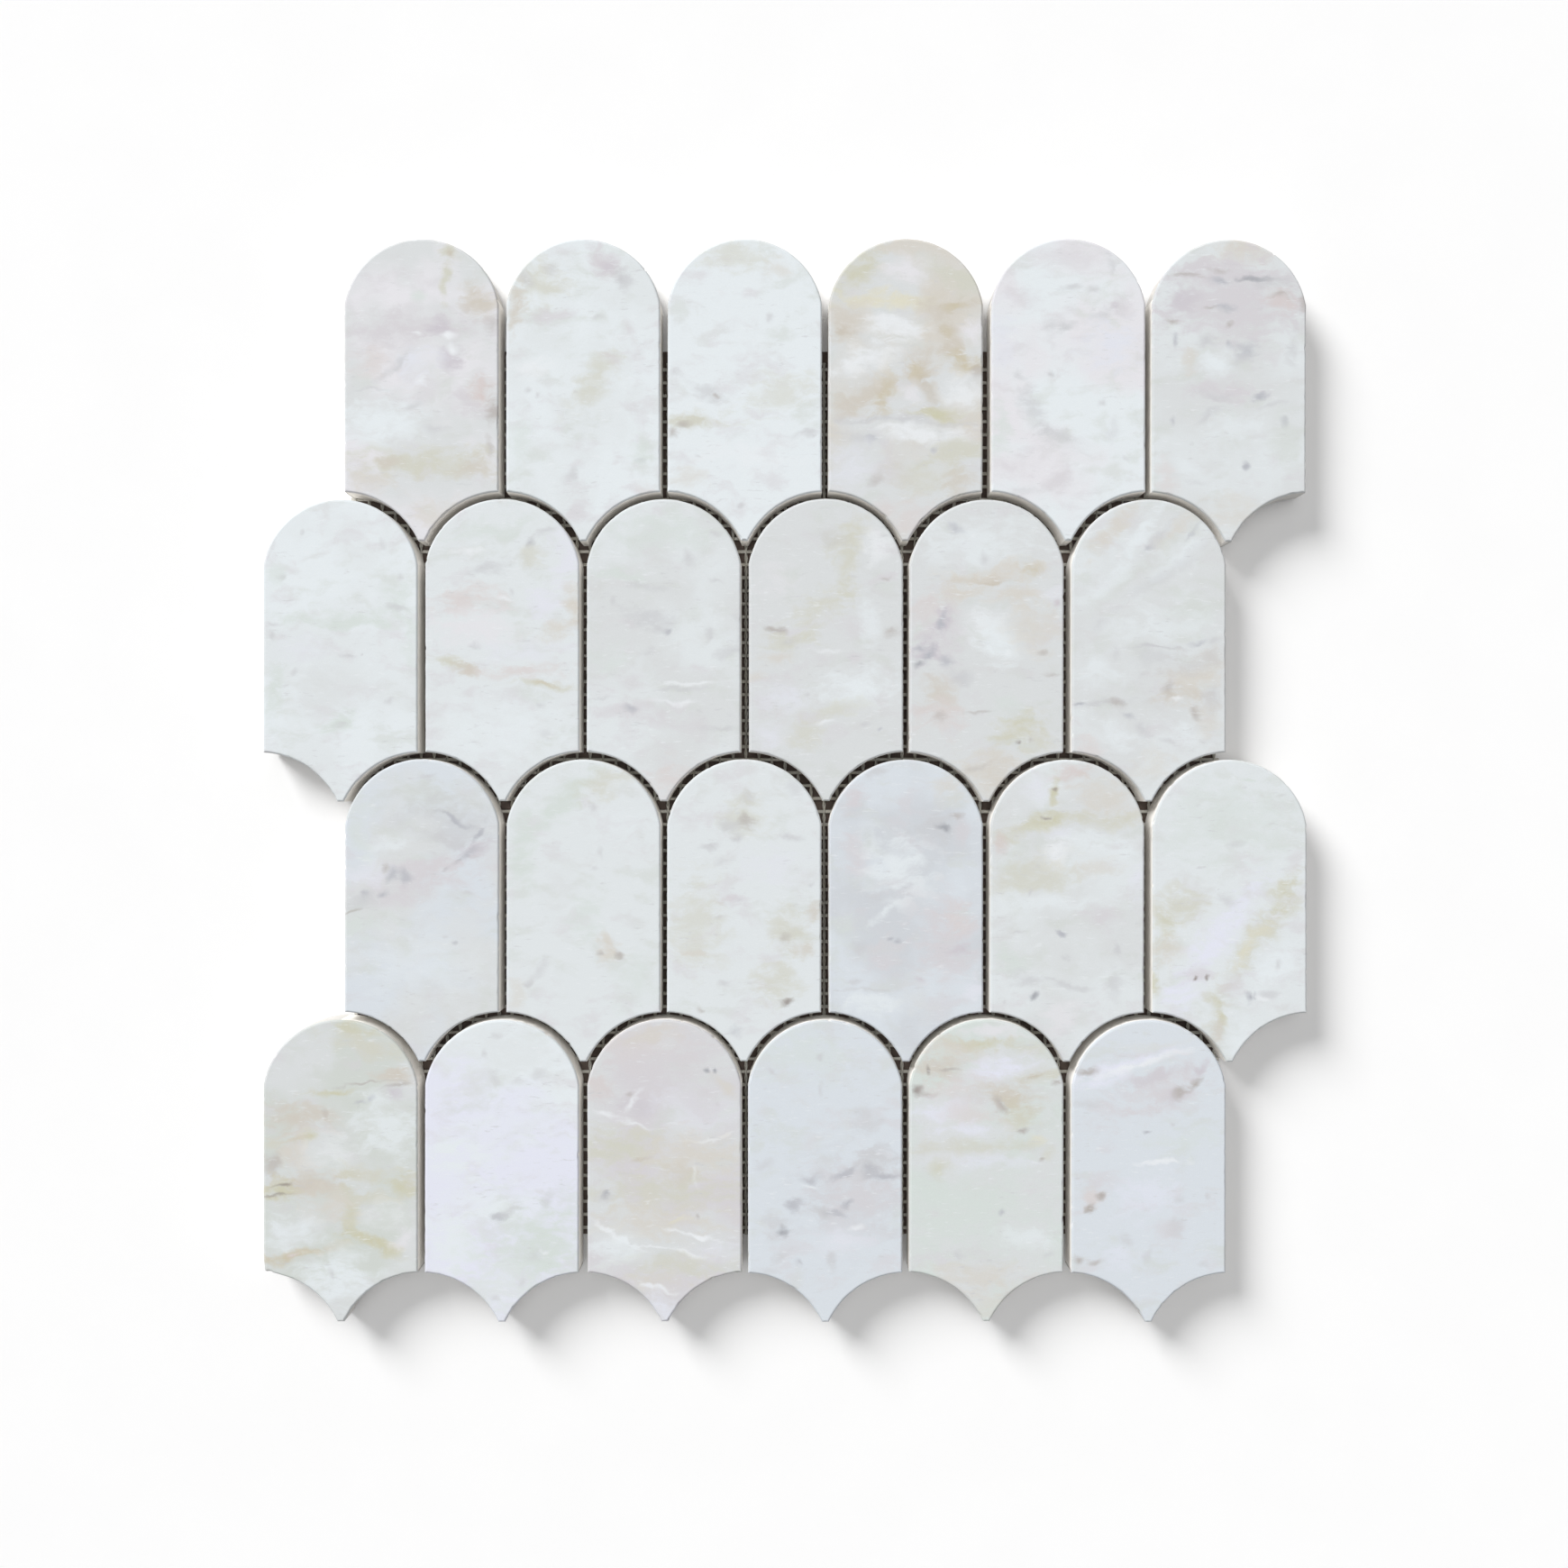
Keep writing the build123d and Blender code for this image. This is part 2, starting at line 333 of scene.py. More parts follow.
# two body tones, then marks: tone, x, y, length, width, turn if there is one, strength
# millimetres from the middle of the arch, and degrees
stoneMarks = {
    "1.1": ("pearl", "grey", """
    olive 8 18 5.5 6 .9; tan 8 17 2.5 3 .5; olive 6.5 10.5 3 12 .75; green 0 6.5 4 4 .6; sand 17 5 8 11 10 .75;
    umber 19 -2 4 5 .4; mauve -2 -3 40 9 2 .75; violet 4 -3 6 7 -30 .7; violet 8 -12 6 9 .65;
    white 6.5 -5.5 5 2.5 20 .8; white 8 -8.5 3 3 .8; white 0 -17.5 4 3 .7; white -1.5 -4.5 3 1 -20 .6;
    lavender -2 -13 12 9 .7; smoke -9 -14 14 2 40 .5; smoke -15 -20.5 10 1 5 .5; pink -15 -13 10 8 .5;
    ice -11 -29 22 14 .85; rose 17 -21 7 8 20 .8; mauve 13 -24 12 6 -30 .7; umber 20 -26 4 9 .6;
    umber 19 -37 3 6 .45; smoke 3 -30.5 7 2.4 5 .6; smoke -3 -25 5 2 30 .5; olive 0 -40.5 42 8 1 .75;
    sand -10 -40.5 8 3 .6; sand 15 -42 10 6 .5; beige -14 -46 12 6 .5; beige 3 -54 14 8 .5"""),
    "1.2": ("ice", "cool", """
    mauve 6 16 12 6 -60 .85; violet 7 15 4 4 .5; smoke 11 10 7 4 -60 .7; mauve -5 18 8 5 .3;
    olive -12 9 14 12 30 .6; smoke -16 10 4 5 .4; smoke -8 13 4 4 .4; ice -13 5 4 5 .7; sand -19 2 5 12 .6;
    mauve -9 0 10 4 10 .6; smoke 4 -.5 4 1.6 .4; mauve 13 -3 4 5 60 .6; olive 4 -17 22 7 55 .55;
    mauve 7.5 -12.5 6 3.5 -40 .4; smoke -16 -21 3 2 .5; smoke -13 -22.5 3 1.5 40 .5; white -14 -15 10 6 .5;
    smoke -4 -44.5 6 2.5 30 .5; slate 16.5 -40 3.5 2 .45; green 17 -37 8 10 .6; green -17 -36 8 16 .4;
    mauve -1 -55 8 6 .35; pink 18 -48 6 4 .4"""),
    "1.3": ("ice", "ice", """
    olive -2 17 20 7 .45; beige 10 13 8 5 .4; smoke 6.7 0 2.4 2.4 .55; smoke -11 -21 9 4 -10 .5;
    umber -8.5 -21.5 2 1 .5; olive -13 -28.5 18 4.5 -3 .75; umber -16.5 -29.5 3 2 .5; umber -19.5 -31.5 3 2 30 .6;
    olive 10 -21 20 10 15 .4; smoke 17.5 -32.5 7 1.6 2 .55; smoke -18.5 -16 3 2 .4; smoke -1 -52 2.4 1.6 .5;
    beige -16 -45 10 8 .35; white 0 -38 24 8 .3"""),
    "1.4": ("grey", "beige", """
    olive -14 13 18 10 50 .9; moss -12 14 12 4 40 .5; beige 0 20 18 5 .7; olive 10 13 12 7 -10 .7;
    pearl -1 13 14 8 .7; olive 18 9 7 12 -20 .7; cream -3 4.5 30 5 -3 .8; sand 12 2.5 18 7 -3 .85;
    ochre 14 2.8 8 4 -3 .7; sand -15 -2 14 9 30 .7; tan -16 -4.5 8 3 10 .4; white -3 -2.5 19 9 -8 .6;
    pearl 18.5 -4.5 7 6 .7; sand 12 -7 6 16 10 .8; ochre 11.5 -5 3 5 10 .45; ochre 17 -13 10 6 -12 .75;
    umber 20.5 -16 3 5 .4; sand 4 -13.5 10 10 15 .85; ochre 3.5 -14.5 5 6 15 .55; tan 6.5 -20 4 8 20 .5;
    ochre -7 -21 7 13 -8 .75; sand -12 -20 12 8 20 .6; white -12 -13 20 8 22 .6; sand -15 -24.5 14 7 .6;
    moss 9 -26.5 14 5 3 .75; white 15 -21 11 9 -40 .55; pearl 2 -21.5 7 6 .6; smoke -2 -29 40 2 .55;
    white 4 -32.5 28 5 .6; smoke -14 -34 13 4 -8 .5; slate -10.5 -35 3 2 .4; slate 8 -37 2 1.6 .55;
    olive 14 -38.5 16 7 12 .7; umber -8 -45 5 4 20 .5; mauve -4 -43 10 10 .5; olive 5 -45 20 10 .5;
    sand 14 -47 12 8 .5; pink 0 -56 16 10 .5; lavender -16 -42 12 12 .5"""),
    "1.5": ("ice", "pearl", """
    mauve 0 17 22 8 .35; smoke 11 15 2 5 .4; smoke 1.3 8.5 5.5 2 .65; smoke 7 7.7 4 2 -10 .45;
    mauve 14.5 3.5 6 6 30 .6; violet 13 3.5 2 3 .6; smoke 10 1 6 3 25 .55; mauve -12 5 8 6 .35;
    smoke -2 -2.5 10 4 15 .45; smoke -1 -3 3 2.4 .5; lavender 12 -8 14 14 .8; lavender -18 -6 8 16 .5;
    smoke -5.5 -15 3 1.8 .65; smoke -14 -15.5 2.5 2.5 .4; smoke -10 -25 6 14 25 .45; smoke -3 -34 14 5 -25 .5;
    smoke 9 -24 2.5 1.4 .45; smoke 13 -31 5 6 .3; smoke 15 -39 2.5 1.5 .4; green -19 -32 5 12 .5;
    mauve -2 -45 8 7 30 .55; smoke -12 -48 8 2 .3"""),
    "1.6": ("grey", "cool", """
    beige 3 18 20 7 .8; mauve -3 14 24 7 8 .7; violet 0 5 42 18 .45; mauve 0 4 40 22 .7; slate -3 10 5 2.2 -10 .7;
    umber -3.5 13 6 1.4 .4; ash 7 10.4 11 1.8 1 .7; smoke 12 9 12 4 5 .5; umber -13 11.5 9 1.2 -4 .5;
    slate -1.5 2.6 6 2.2 -8 .85; umber -5 2.6 4 1 .5; violet -13 6 7 8 .5; umber -15 -1 3 2.4 .6;
    slate -15.5 -6.5 2 4 10 .6; rose 14 5 8 7 .5; umber 14 6 5 2 .5; umber 20 5 2.4 5 .5; umber -1 -2 2 2 .5;
    smoke -6.5 -7.5 4 4 .7; slate -.5 -8.5 2 3 .5; slate 4.5 -9.5 6 5 20 .5; smoke 3 -12.5 8 3 10 .5;
    smoke 18 -8 4 8 .45; beige -11 -13 4 8 .5; ice -4 -13.5 8 7 .7; mauve -1 -21 20 6 .8; smoke -3 -22 8 3 .5;
    slate 8.5 -21.8 5 2.4 5 .75; smoke 12 -25 10 1.4 .4; smoke -6 -27.5 9 2 25 .6; slate -16 -29 1.4 3 .5;
    slate 15.5 -29.5 2.4 2 .55; ice 2 -31 20 8 .5; haze 16 -34 9 12 .4; slate 5.7 -41 2 2.4 20 .75;
    grey -5 -40 10 7 .5; ice -13 -42 8 6 .5; smoke -10 -46 6 2 .3; beige 1 -55 16 10 .4; pink -18 -45 6 10 .4"""),
    "2.1": ("ice", "cool", """
    smoke -11 12.5 1.6 1.6 .4; smoke 12 9 1.6 4 10 .3; smoke -16.5 0 3 2 .55; green -18 1 6 6 .4;
    smoke 17 -.5 2 2 .4; green 16 -6 9 9 40 .5; smoke 16 -8.5 6 1.6 .5; green 3 -12 36 4 -2 .7;
    smoke -19 -12.5 4 1.4 .5; smoke -19.5 -16 2 3 .5; smoke 3 -21.3 5 1.4 -5 .6; smoke 6.3 -21.3 1 1 .6;
    smoke -13 -26 2 2 .5; lavender -10 -20 14 8 .35; grey -3 -31 24 16 .4; green -19 -33 5 16 .6;
    smoke 14 -34 3 1.5 30 .45; green 0 -40 10 6 20 .7; smoke -.5 -41 4 2 10 .35; green 20 -20 4 20 .35"""),
    "2.2": ("cool", "cool", """
    green -3 13 24 6 .5; smoke 13 12 8 2 25 .5; slate 9 8.7 3 2.4 .6; olive 8.5 6 6 6 .5; white -10 7.5 8 2 .6;
    lavender 18 7 8 16 .85; smoke -3 3 11 4 10 .5; pink -10 -7 22 8 5 .65; smoke 2.5 -2.8 2 2 .45;
    white 0 -5.5 6 1.6 .5; lavender 12 -7 12 10 .75; beige 20 -8 5 10 .75; beige 16 -14 10 5 20 .6;
    pearl -8 -14 24 8 .6; smoke -7 -18.5 3 1.6 .5; lavender 6 -20 24 5 .45; olive -14 -23 12 4 -8 .8;
    sand -9 -25.5 7 4 -30 .8; pink 6 -26 24 4 .6; olive 12 -29.8 14 2 -2 .7; ochre 12 -29.7 6 1 .5;
    smoke 9.7 -35 2.2 1.3 .6; ice 0 -43 34 16 .6; smoke 12 -43.5 4 4 .35"""),
    "2.3": ("cool", "grey", """
    green 0 12 30 10 .5; smoke 14.5 12.5 2.5 2 .5; smoke 7 5.5 4 3.5 -30 .55; green -12 1 16 4 -5 .6;
    smoke 15 -.8 3.5 1.3 -10 .5; smoke -5 -2.5 12 2 -10 .4; smoke -14.5 -7 2 2 .45; smoke -5 -11.5 14 6 -10 .5;
    slate 1 -15 2.5 2 .6; smoke -2 -13.5 5 1.6 -20 .4; smoke 12 -15.5 3 4 .45; smoke 20 -16 3 8 .5;
    smoke -4 -20.5 5 2 .4; smoke 17 -21 8 2.4 15 .4; green -15 -23 10 8 .4; mauve -8 -29 8 6 .35;
    white 7 -30 20 1.2 2 .5; white 4 -35 14 1.3 -4 .6; smoke 3 -31.5 14 1 2 .4; mauve -8 -37.5 26 5 3 .5;
    slate -9 -37.3 4 2.2 -5 .55; smoke -17 -34 7 1 .4; smoke 16 -42 10 1.6 .5; mauve 2 -41 22 4 .4;
    pink 2 -56 14 9 .55"""),
    "2.4": ("grey", "grey", """
    olive 7 12 14 7 40 .7; olive 6 3 6 20 -5 .65; smoke 3 11 6 5 .3; white 15 9 8 8 .5; mauve 17 -.5 9 3 10 .6;
    umber 18.5 -.5 3 1 .45; olive -2 -9 18 8 30 .6; pearl -14 -1 10 10 .35; umber -13.5 -14 6 1.6 -15 .65;
    olive -9 -17.5 14 5 .7; smoke -10 -17.5 5 2.4 .45; ice 12 -12 6 12 .5; umber 19 -16 4 3.5 20 .5;
    mauve 7.5 -22.5 4 3.5 .6; white 0 -20.5 8 1 .4; beige -14 -22.5 8 4 .5; beige -19 -28 7 3 .5;
    mauve -14 -29 12 4 .4; ice 8 -31 22 10 10 .7; lavender -12 -34 14 8 .5; smoke -5 -33 2 1.4 .5;
    olive 2 -37 18 4 12 .5; olive -6 -44 10 7 20 .5; white 0 -40.5 6 1.6 .5; smoke 11 -40.5 3 1.6 .5;
    slate 15.5 -42.3 2.2 1.6 .6; lavender -16 -44 8 10 .5"""),
    "2.5": ("grey", "grey", """
    ice -2 9 34 14 .55; slate -9 13.5 4 3.5 .5; smoke -1 6 3 2.5 .5; beige 1 1 26 5 5 .8; sand -2 -.5 16 2.4 2 .7;
    tan 0 -1 10 1 .5; ochre 11.5 2 6 3 8 .5; beige -8 -4 16 7 25 .7; beige 8 -5 16 6 .6; lavender 18 -4 7 4 .5;
    violet 19.5 -6.5 3 3 .7; pink -16 -9 9 10 .5; mauve -12 -16 12 18 .6; violet -12.5 -13 4 9 -8 .9;
    slate -12.7 -12.5 2.2 6 -10 .7; violet -16.5 -22 7 8 .9; slate -16 -22.5 3 6 -20 .85; slate -18 -20 3 2 .6;
    ash -19 -25 3 2 .6; slate -10.5 -24 3.5 3 .55; smoke -6.5 -28 5 3 -15 .6; white 0 -14 11 10 .45;
    ice 4 -18 12 12 .8; beige 13 -13 14 14 .5; umber 15 -20 2 2 .4; umber 18 -26.5 6 1.4 2 .4; sand -14 -33 10 8 .6;
    pink -13 -38 14 9 .55; umber -14 -39 5 3 .35; umber -2 -37 8 1 -3 .4; green 5 -36 8 6 .4; moss 9 -43 14 8 15 .6;
    olive 14 -46 14 8 .6; brown 8.2 -47 1.6 1.6 .7; umber 12 -46 2 1.6 .4; beige 0 -54 18 12 .6; sand 4 -57 8 8 .4;
    umber -2 -53 8 2 10 .3"""),
    "2.6": ("cool", "grey", """
    beige -10 13 20 5 48 .6; ice -2 12 20 4 52 .7; smoke 3 11 14 3 45 .5; slate 0 8.5 2.4 2 .5;
    beige 8 13 14 4 40 .5; slate 12 12 6 1 45 .45; ice 9 7 24 4 40 .6; smoke 4 1 26 4 38 .3; haze -6 0 26 4 38 .4;
    ice -12 -2 24 5 38 .5; smoke -13 -13 4 5 20 .45; haze 13 -10 14 10 20 .5; slate 13 -18 6 1.4 10 .55;
    smoke 18 -18 4 2 .5; ice 4 -14 26 8 .5; smoke 2 -19.6 16 .8 .8; smoke 3 -22 20 6 .35; ice -14 -25 14 10 .5;
    smoke -9 -21 2 4 .35; beige 13 -27 18 12 15 .7; smoke 12 -24 20 6 10 .4; umber 6 -31.5 3 5 .5;
    sand 10 -33 14 5 5 .5; white 8 -34.3 4 1.2 .6; smoke 17 -33 5 6 .5; umber 13 -37 3 4 10 .6;
    smoke -12 -35 18 2.4 6 .6; slate -19.5 -35.8 4 1.4 .8; umber -8 -35 6 3 -20 .5; slate -5 -38 5 1.6 -30 .5;
    smoke -2 -42 4 6 40 .6; beige 16 -40 8 10 .4; ice 9 -43 10 8 .6; ice -10 -44 12 8 .6; pink -17 -47 8 6 .5;
    smoke 5 -46 3 1.4 .5; beige 1 -53 14 8 .35"""),
    "3.1": ("paleBlue", "grey", """
    haze 2 11 20 8 -20 .5; smoke 1.5 16.7 6 1.2 .5; smoke 8 4 24 14 -15 .45; slate 9 5.5 9 1.2 -22 .7;
    slate 15.8 1 1.6 6 -10 .75; violet 14.5 -4 8 5 15 .9; slate 14 -4.5 6 2.5 25 .75; ash 10.5 -6.5 5 1.3 35 .75;
    ash 7 -8.8 3 1.4 35 .75; smoke 10 0 12 3 -5 .5; mauve 3 -8 22 5 12 .8; mauve -2 -13 30 8 8 .7;
    slate -5 -11 5 3.5 .6; slate -8.5 -11 3 4 .65; umber -10.5 -9 2.4 2 .6; slate -10.5 -15.5 4 1.8 35 .65;
    smoke -15 -16.5 5 3 60 .5; slate -15.5 -16.3 1.5 2 .5; smoke -17 -19 8 5 5 .5; umber -18.5 -20.3 6 1 .8;
    smoke 13 -15.5 3 1 .5; mauve -9 -18 12 4 20 .5; lavender -16 -10 11 8 .6; ice -9 -2 16 6 15 .5;
    green -17 2 6 16 .4; ice 2 -34 38 22 .3; slate 9.3 -29.3 1.8 1.5 .75; smoke 6.5 -27 1.6 1.2 .45;
    green -18 -24 10 10 .5; grey 12 -25 14 14 .4; grey -2 -55 12 10 .4"""),
    "3.2": ("cool", "cool", """
    green -6 10 26 7 45 .7; olive 6 15 16 8 20 .55; green -17 -4 8 22 .65; smoke 2 8.7 3 2.5 .5;
    smoke 5.5 -4 1.6 4 10 .35; smoke 3.3 -8.8 2.4 1.6 .4; grey -6 -15 10 12 -30 .4; green 1 -22 8 14 .5;
    beige 7 -31 7 7 10 .9; umber 9.8 -32 2.2 4 15 .65; umber 4.5 -32 2.5 1.4 .5; beige 7.5 -27.5 3 2 .5;
    smoke -12 -37 8 3.5 50 .35; smoke -15.2 -40.7 3 1.6 .55; green 14 -40 12 16 .4; beige -19 -44 5 10 .35;
    ice 12 4 18 10 .35"""),
    "3.3": ("cool", "cool", """
    smoke 1.5 10.5 4 4 .5; olive 1 6 12 10 30 .5; umber 1 4 4 4.5 .5; smoke -3.5 3 5 4 .5; smoke -2 -.5 3 2 .55;
    smoke -10 -2 7 1.8 12 .6; smoke 13 .8 6 2 -5 .5; smoke 14 14.5 5 3 -50 .35; smoke -5.5 -5.5 4 2 .4;
    smoke 17.5 -12.5 2 1.2 .5; lavender 8 -8 16 10 .4; mauve -3 -18 8 4 -10 .8; violet -1 -18.5 3 2 .4;
    smoke -7 -23.3 4 1.3 .55; olive -13 -24 14 24 .45; beige -14 -32 10 1.6 .5; sand 19 -21 5 7 .55;
    olive 13 -26 12 12 20 .6; umber 11.5 -28 3 4 .35; sand 16 -31 8 4 -10 .45; olive 9 -40 12 12 .55;
    brown 12 -45.8 3.4 2.2 10 .65; smoke -6 -40.5 4 1.8 .5; umber -12.5 -48 2.5 2 .45; slate -2 -55 4 3 .4"""),
    "3.4": ("paleBlue", "dim", """
    mauve -15 11 6 8 .75; smoke -8 18.5 9 2.4 25 .5; beige 12 14 10 6 -40 .5; smoke 7 2.5 10 6 .6;
    ash 9.5 2.6 3 2 -10 .95; smoke 0 2 3 2.4 .4; smoke 8.5 6.7 3 1.2 .6; umber 14.2 5.3 4 2 .55; mauve 15 2 5 6 .5;
    mauve -13.5 -7 7 12 20 .7; mauve -15.5 -1 5 4 .6; ice -3 -8 16 18 35 .65; ice 5 -15 8 10 .5;
    ice -5 -21 12 2 25 .6; smoke -8 -17 6 4 .4; mauve 11 -27 16 22 20 .75; pink 14 -22 8 8 .5;
    violet 15.5 -31.5 6 4 .6; slate -5.2 -28.2 2.2 1.6 .9; slate -2.8 -28.8 2.6 1.6 .8;
    smoke -13.8 -29 2.4 5 10 .55; green -17 -25 8 8 .4; mauve -6 -33 14 8 .6; violet 4.5 -38.7 3 1.6 .6;
    smoke -14.5 -40 5 2 .5; smoke -10 -42.5 14 1.2 .5; lavender 18 -43 6 8 .6; ice -10 -47 16 6 .6;
    grey 4 -46 10 8 .4"""),
    "3.5": ("cool", "grey", """
    rose 1 18 12 5 .6; lavender -8 13 9 9 .5; moss -3.7 13 2.5 8 .7; brown -3.6 14 1.8 1.2 .6;
    beige 11 11 18 10 -15 .55; moss -5 5 12 5 10 .75; olive 8 5.5 22 4 .75; olive -14 .5 16 5 20 .85;
    moss -8 2.5 8 4 10 .5; brown -6.8 5.5 2 1 .6; rose -19 -3 4 6 .5; ice 6 0 26 6 .5; lavender -4 1 8 3 20 .6;
    white -4 -5 6 7 .7; ice 12 -4 18 6 .5; olive -11 -11 22 10 8 .6; beige 8 -8 12 5 .4; smoke -11.3 -15 1 3.5 .45;
    lavender 19 -13 4 10 .6; ice -4 -18 34 4 .5; mauve 11 -23 9 5 .6; smoke -14 -26.3 4 1 .45;
    slate -1.8 -27.8 2.4 2 .75; smoke -1 -32.8 2.4 1 .5; smoke 14 -31.5 2 6 15 .55; green -16 -34 10 8 .6;
    smoke -12 -40 8 5 .5; smoke -1 -40.5 12 2 -15 .5; ash -9.6 -44.3 3.4 1.4 .85; smoke 13 -41 5 7 .45;
    pearl -2 -50 10 10 .5"""),
    "3.6": ("cool", "cool", """
    green 0 4 40 20 .4; green 6 16.7 5 1 .7; smoke 1 -2 6 2 .35; olive -14 -19 16 10 .65; moss -18 -26 6 12 .4;
    beige -17 -31 8 8 .5; moss -20 -40 5 8 .6; smoke -.5 -17 6 3.5 -30 .5; lilac -3 -28 34 9 52 .9;
    lilac -12 -43 14 8 50 .7; olive 8 -28 36 7 52 .75; moss 14 -16 14 5 50 .5; cream 6 -30 20 4 50 .5;
    olive -4 -48 10 6 60 .5; moss -3 -50 3 10 5 .6; sand -4 -55 4 8 .6; mauve -8.5 -38.5 8 5 .6;
    brown -9 -39.4 1.3 1.4 .75; brown -6.2 -39.6 1.2 1.5 .75; ice 13 -36 14 9 35 .8; smoke 13.8 -35.3 2 3 10 .5;
    slate 6 -45 1.8 2.8 10 .8; slate 7.6 -44.5 1.2 2.2 .6; white 9.5 -44.8 4 1.4 -15 .8; mauve 1 -41 7 8 20 .5;
    smoke 12 -43.5 6 2.4 10 .45; ice 3 -56 10 10 .5; mauve 18 -6 5 8 .4"""),
    "4.1": ("grey", "haze", """
    olive 6 15 20 8 -15 .7; moss 4 19 14 3 -15 .5; sand 15 5.5 12 5 10 .75; umber 15 2.5 8 1.5 20 .6;
    violet 15 .5 6 3 .7; ash 8.8 -1.2 2.2 1.4 .95; slate 5.5 -2 4 1 5 .6; umber 6 3.2 14 .8 5 .5;
    moss -3 1 12 1.8 4 .75; sand -14 -6 16 10 -10 .7; umber -4.4 -4.8 1.8 3 10 .6; sand -4 -6 8 6 -20 .5;
    moss -8 -12 5 3.5 .95; ochre -12 -12.5 10 2 5 .6; beige -14 -16 14 8 .7; umber -19 -19 5 6 .45;
    olive -19 -14 5 4 .6; white -2 -15 14 11 .35; ice 13 -8 18 16 -30 .6; olive 7 -21 16 5 .75;
    sand -10 -25 24 7 .85; moss -17 -26 9 7 .8; brown -16 -24.8 6 1.2 8 .65; brown -18 -27.5 8 1 4 .55;
    moss 17 -25 10 7 15 .65; moss 2 -31 5 16 5 .65; olive 6 -27 20 4 .7; beige -4 -30 14 8 .6;
    white 14 -33 17 10 .3; ice -14 -37 18 8 -5 .6; moss 8 -39.5 18 3 -15 .8; moss 15 -42.5 8 4 .6;
    ochre -12 -43 20 3 8 .75; rose -13 -43 3 1.4 .6; pearl 18 -40 6 6 .6; ice 0 -51 26 14 .7;
    smoke -2.2 -49.3 1.6 3.4 .55; umber -20 -48 4 3 -40 .6"""),
    "4.2": ("lilac", "ice", """
    cool 0 13 40 16 .8; smoke -5.6 11.6 1.6 3 .5; smoke -3.5 5 3 5 15 .5; grey -8 3 14 6 20 .5;
    smoke 10.5 6.5 5 3.5 30 .45; smoke 5 4.5 6 2 10 .35; smoke -1.5 17 3 2 .35; lilac 0 -10 42 12 4 .5;
    grey 3 -10 18 3 25 .3; lilac 4 -18 40 14 10 .8; ice -14 -40 14 18 .7; green 10 -42 34 22 28 .9;
    slate -1.2 -33.5 4.5 3 15 .6; smoke 2 -32 8 3 20 .45; smoke 14 -28 6 3 40 .4; smoke 10 -44 6 3 20 .3;
    cool -1 -52 16 16 .6; smoke -2.5 -56 2.5 2 .5; smoke 4.5 -50 2 3 -20 .35; white 13 -43 2 1 20 .5"""),
    "4.3": ("grey", "mauve", """
    pink -6 14 28 12 .6; mauve 0 10 36 16 .55; rose -18 4 8 8 .4; beige -4 17 16 6 .5; ash 13 8 1.8 1.5 .75;
    ash 15.6 7.4 1.7 1.6 .75; beige 17 3.5 8 3 -40 .6; umber 14.8 -1 1.4 1.2 .5; violet -9 -1.5 12 6 -10 .4;
    white -9 -1 8 2 50 .55; white -15 -4 8 2 -20 .6; white -8 -7.5 10 1.6 -20 .55; umber -9 2 3 1.4 -40 .4;
    lavender 9 -4 18 12 -10 .6; mauve 10 -2 14 10 -20 .5; white 12 -11.3 16 1 10 .6; olive -12 -14 22 10 .75;
    tan -6.5 -16.8 9 1.4 3 .5; beige 8 -17 26 14 .65; sand 6 -22 10 6 .5; white 10 -22 1 8 5 .4;
    olive 0 -27 40 10 .65; ash -17.2 -28 2 2 .75; smoke -17 -28.5 4 3.5 .4; beige -2 -34 34 10 .6;
    umber 10.3 -32.5 1.4 2 .5; cream 6 -33.5 6 1.6 15 .5; white 9 -38 14 1.3 -15 .85; white -13 -38 16 1.3 -32 .7;
    white 8 -43.5 12 1.6 -14 .8; white -4 -41 14 1 -12 .55; ice -14 -42 14 10 .6; lavender 15 -43 12 7 .45;
    olive 4 -47 28 7 .6; beige -2 -52 20 6 .5; white 0 -53.5 12 1.2 -4 .7; lavender 0 -58 9 8 .85"""),
    "4.4": ("paleBlue", "paleBlue", """
    green -6 12 28 14 .4; smoke -15.7 8 2.4 1.4 -20 .5; smoke -1.7 11 1.6 2 .5; smoke -2 2.5 1.4 3 .4;
    smoke 12 -6 7 8 .4; dim 8 -28 30 26 15 .6; mauve 9 -27 24 18 10 .55; smoke 14 -18 12 9 .55;
    slate 4 -21 8 2 22 .6; slate 13 -20 5 4 .5; slate 16.5 -22 8 2.4 8 .65; slate -4.5 -22.5 4 2.5 10 .55;
    white -4.5 -24.3 4 1 .5; smoke -18 -18 5 3 .35; slate -8.3 -30.3 5 3.5 15 .6; slate 6.3 -29.8 3.5 2.4 40 .7;
    smoke -1 -32.4 6 2.4 -20 .7; slate 4 -32.6 7 1.6 .5; smoke -13.5 -36 6 8 10 .45; ash -11.7 -37.3 2.4 3 .7;
    white 9 -35.7 4 1.6 25 .6; lavender 4 -40 16 8 .6; slate -8 -46 3.4 1.4 -35 .5; smoke 1 -45 2.4 5 10 .5;
    smoke -14 -44 5 3 20 .4; smoke -16.5 -48 6 2 -20 .3"""),
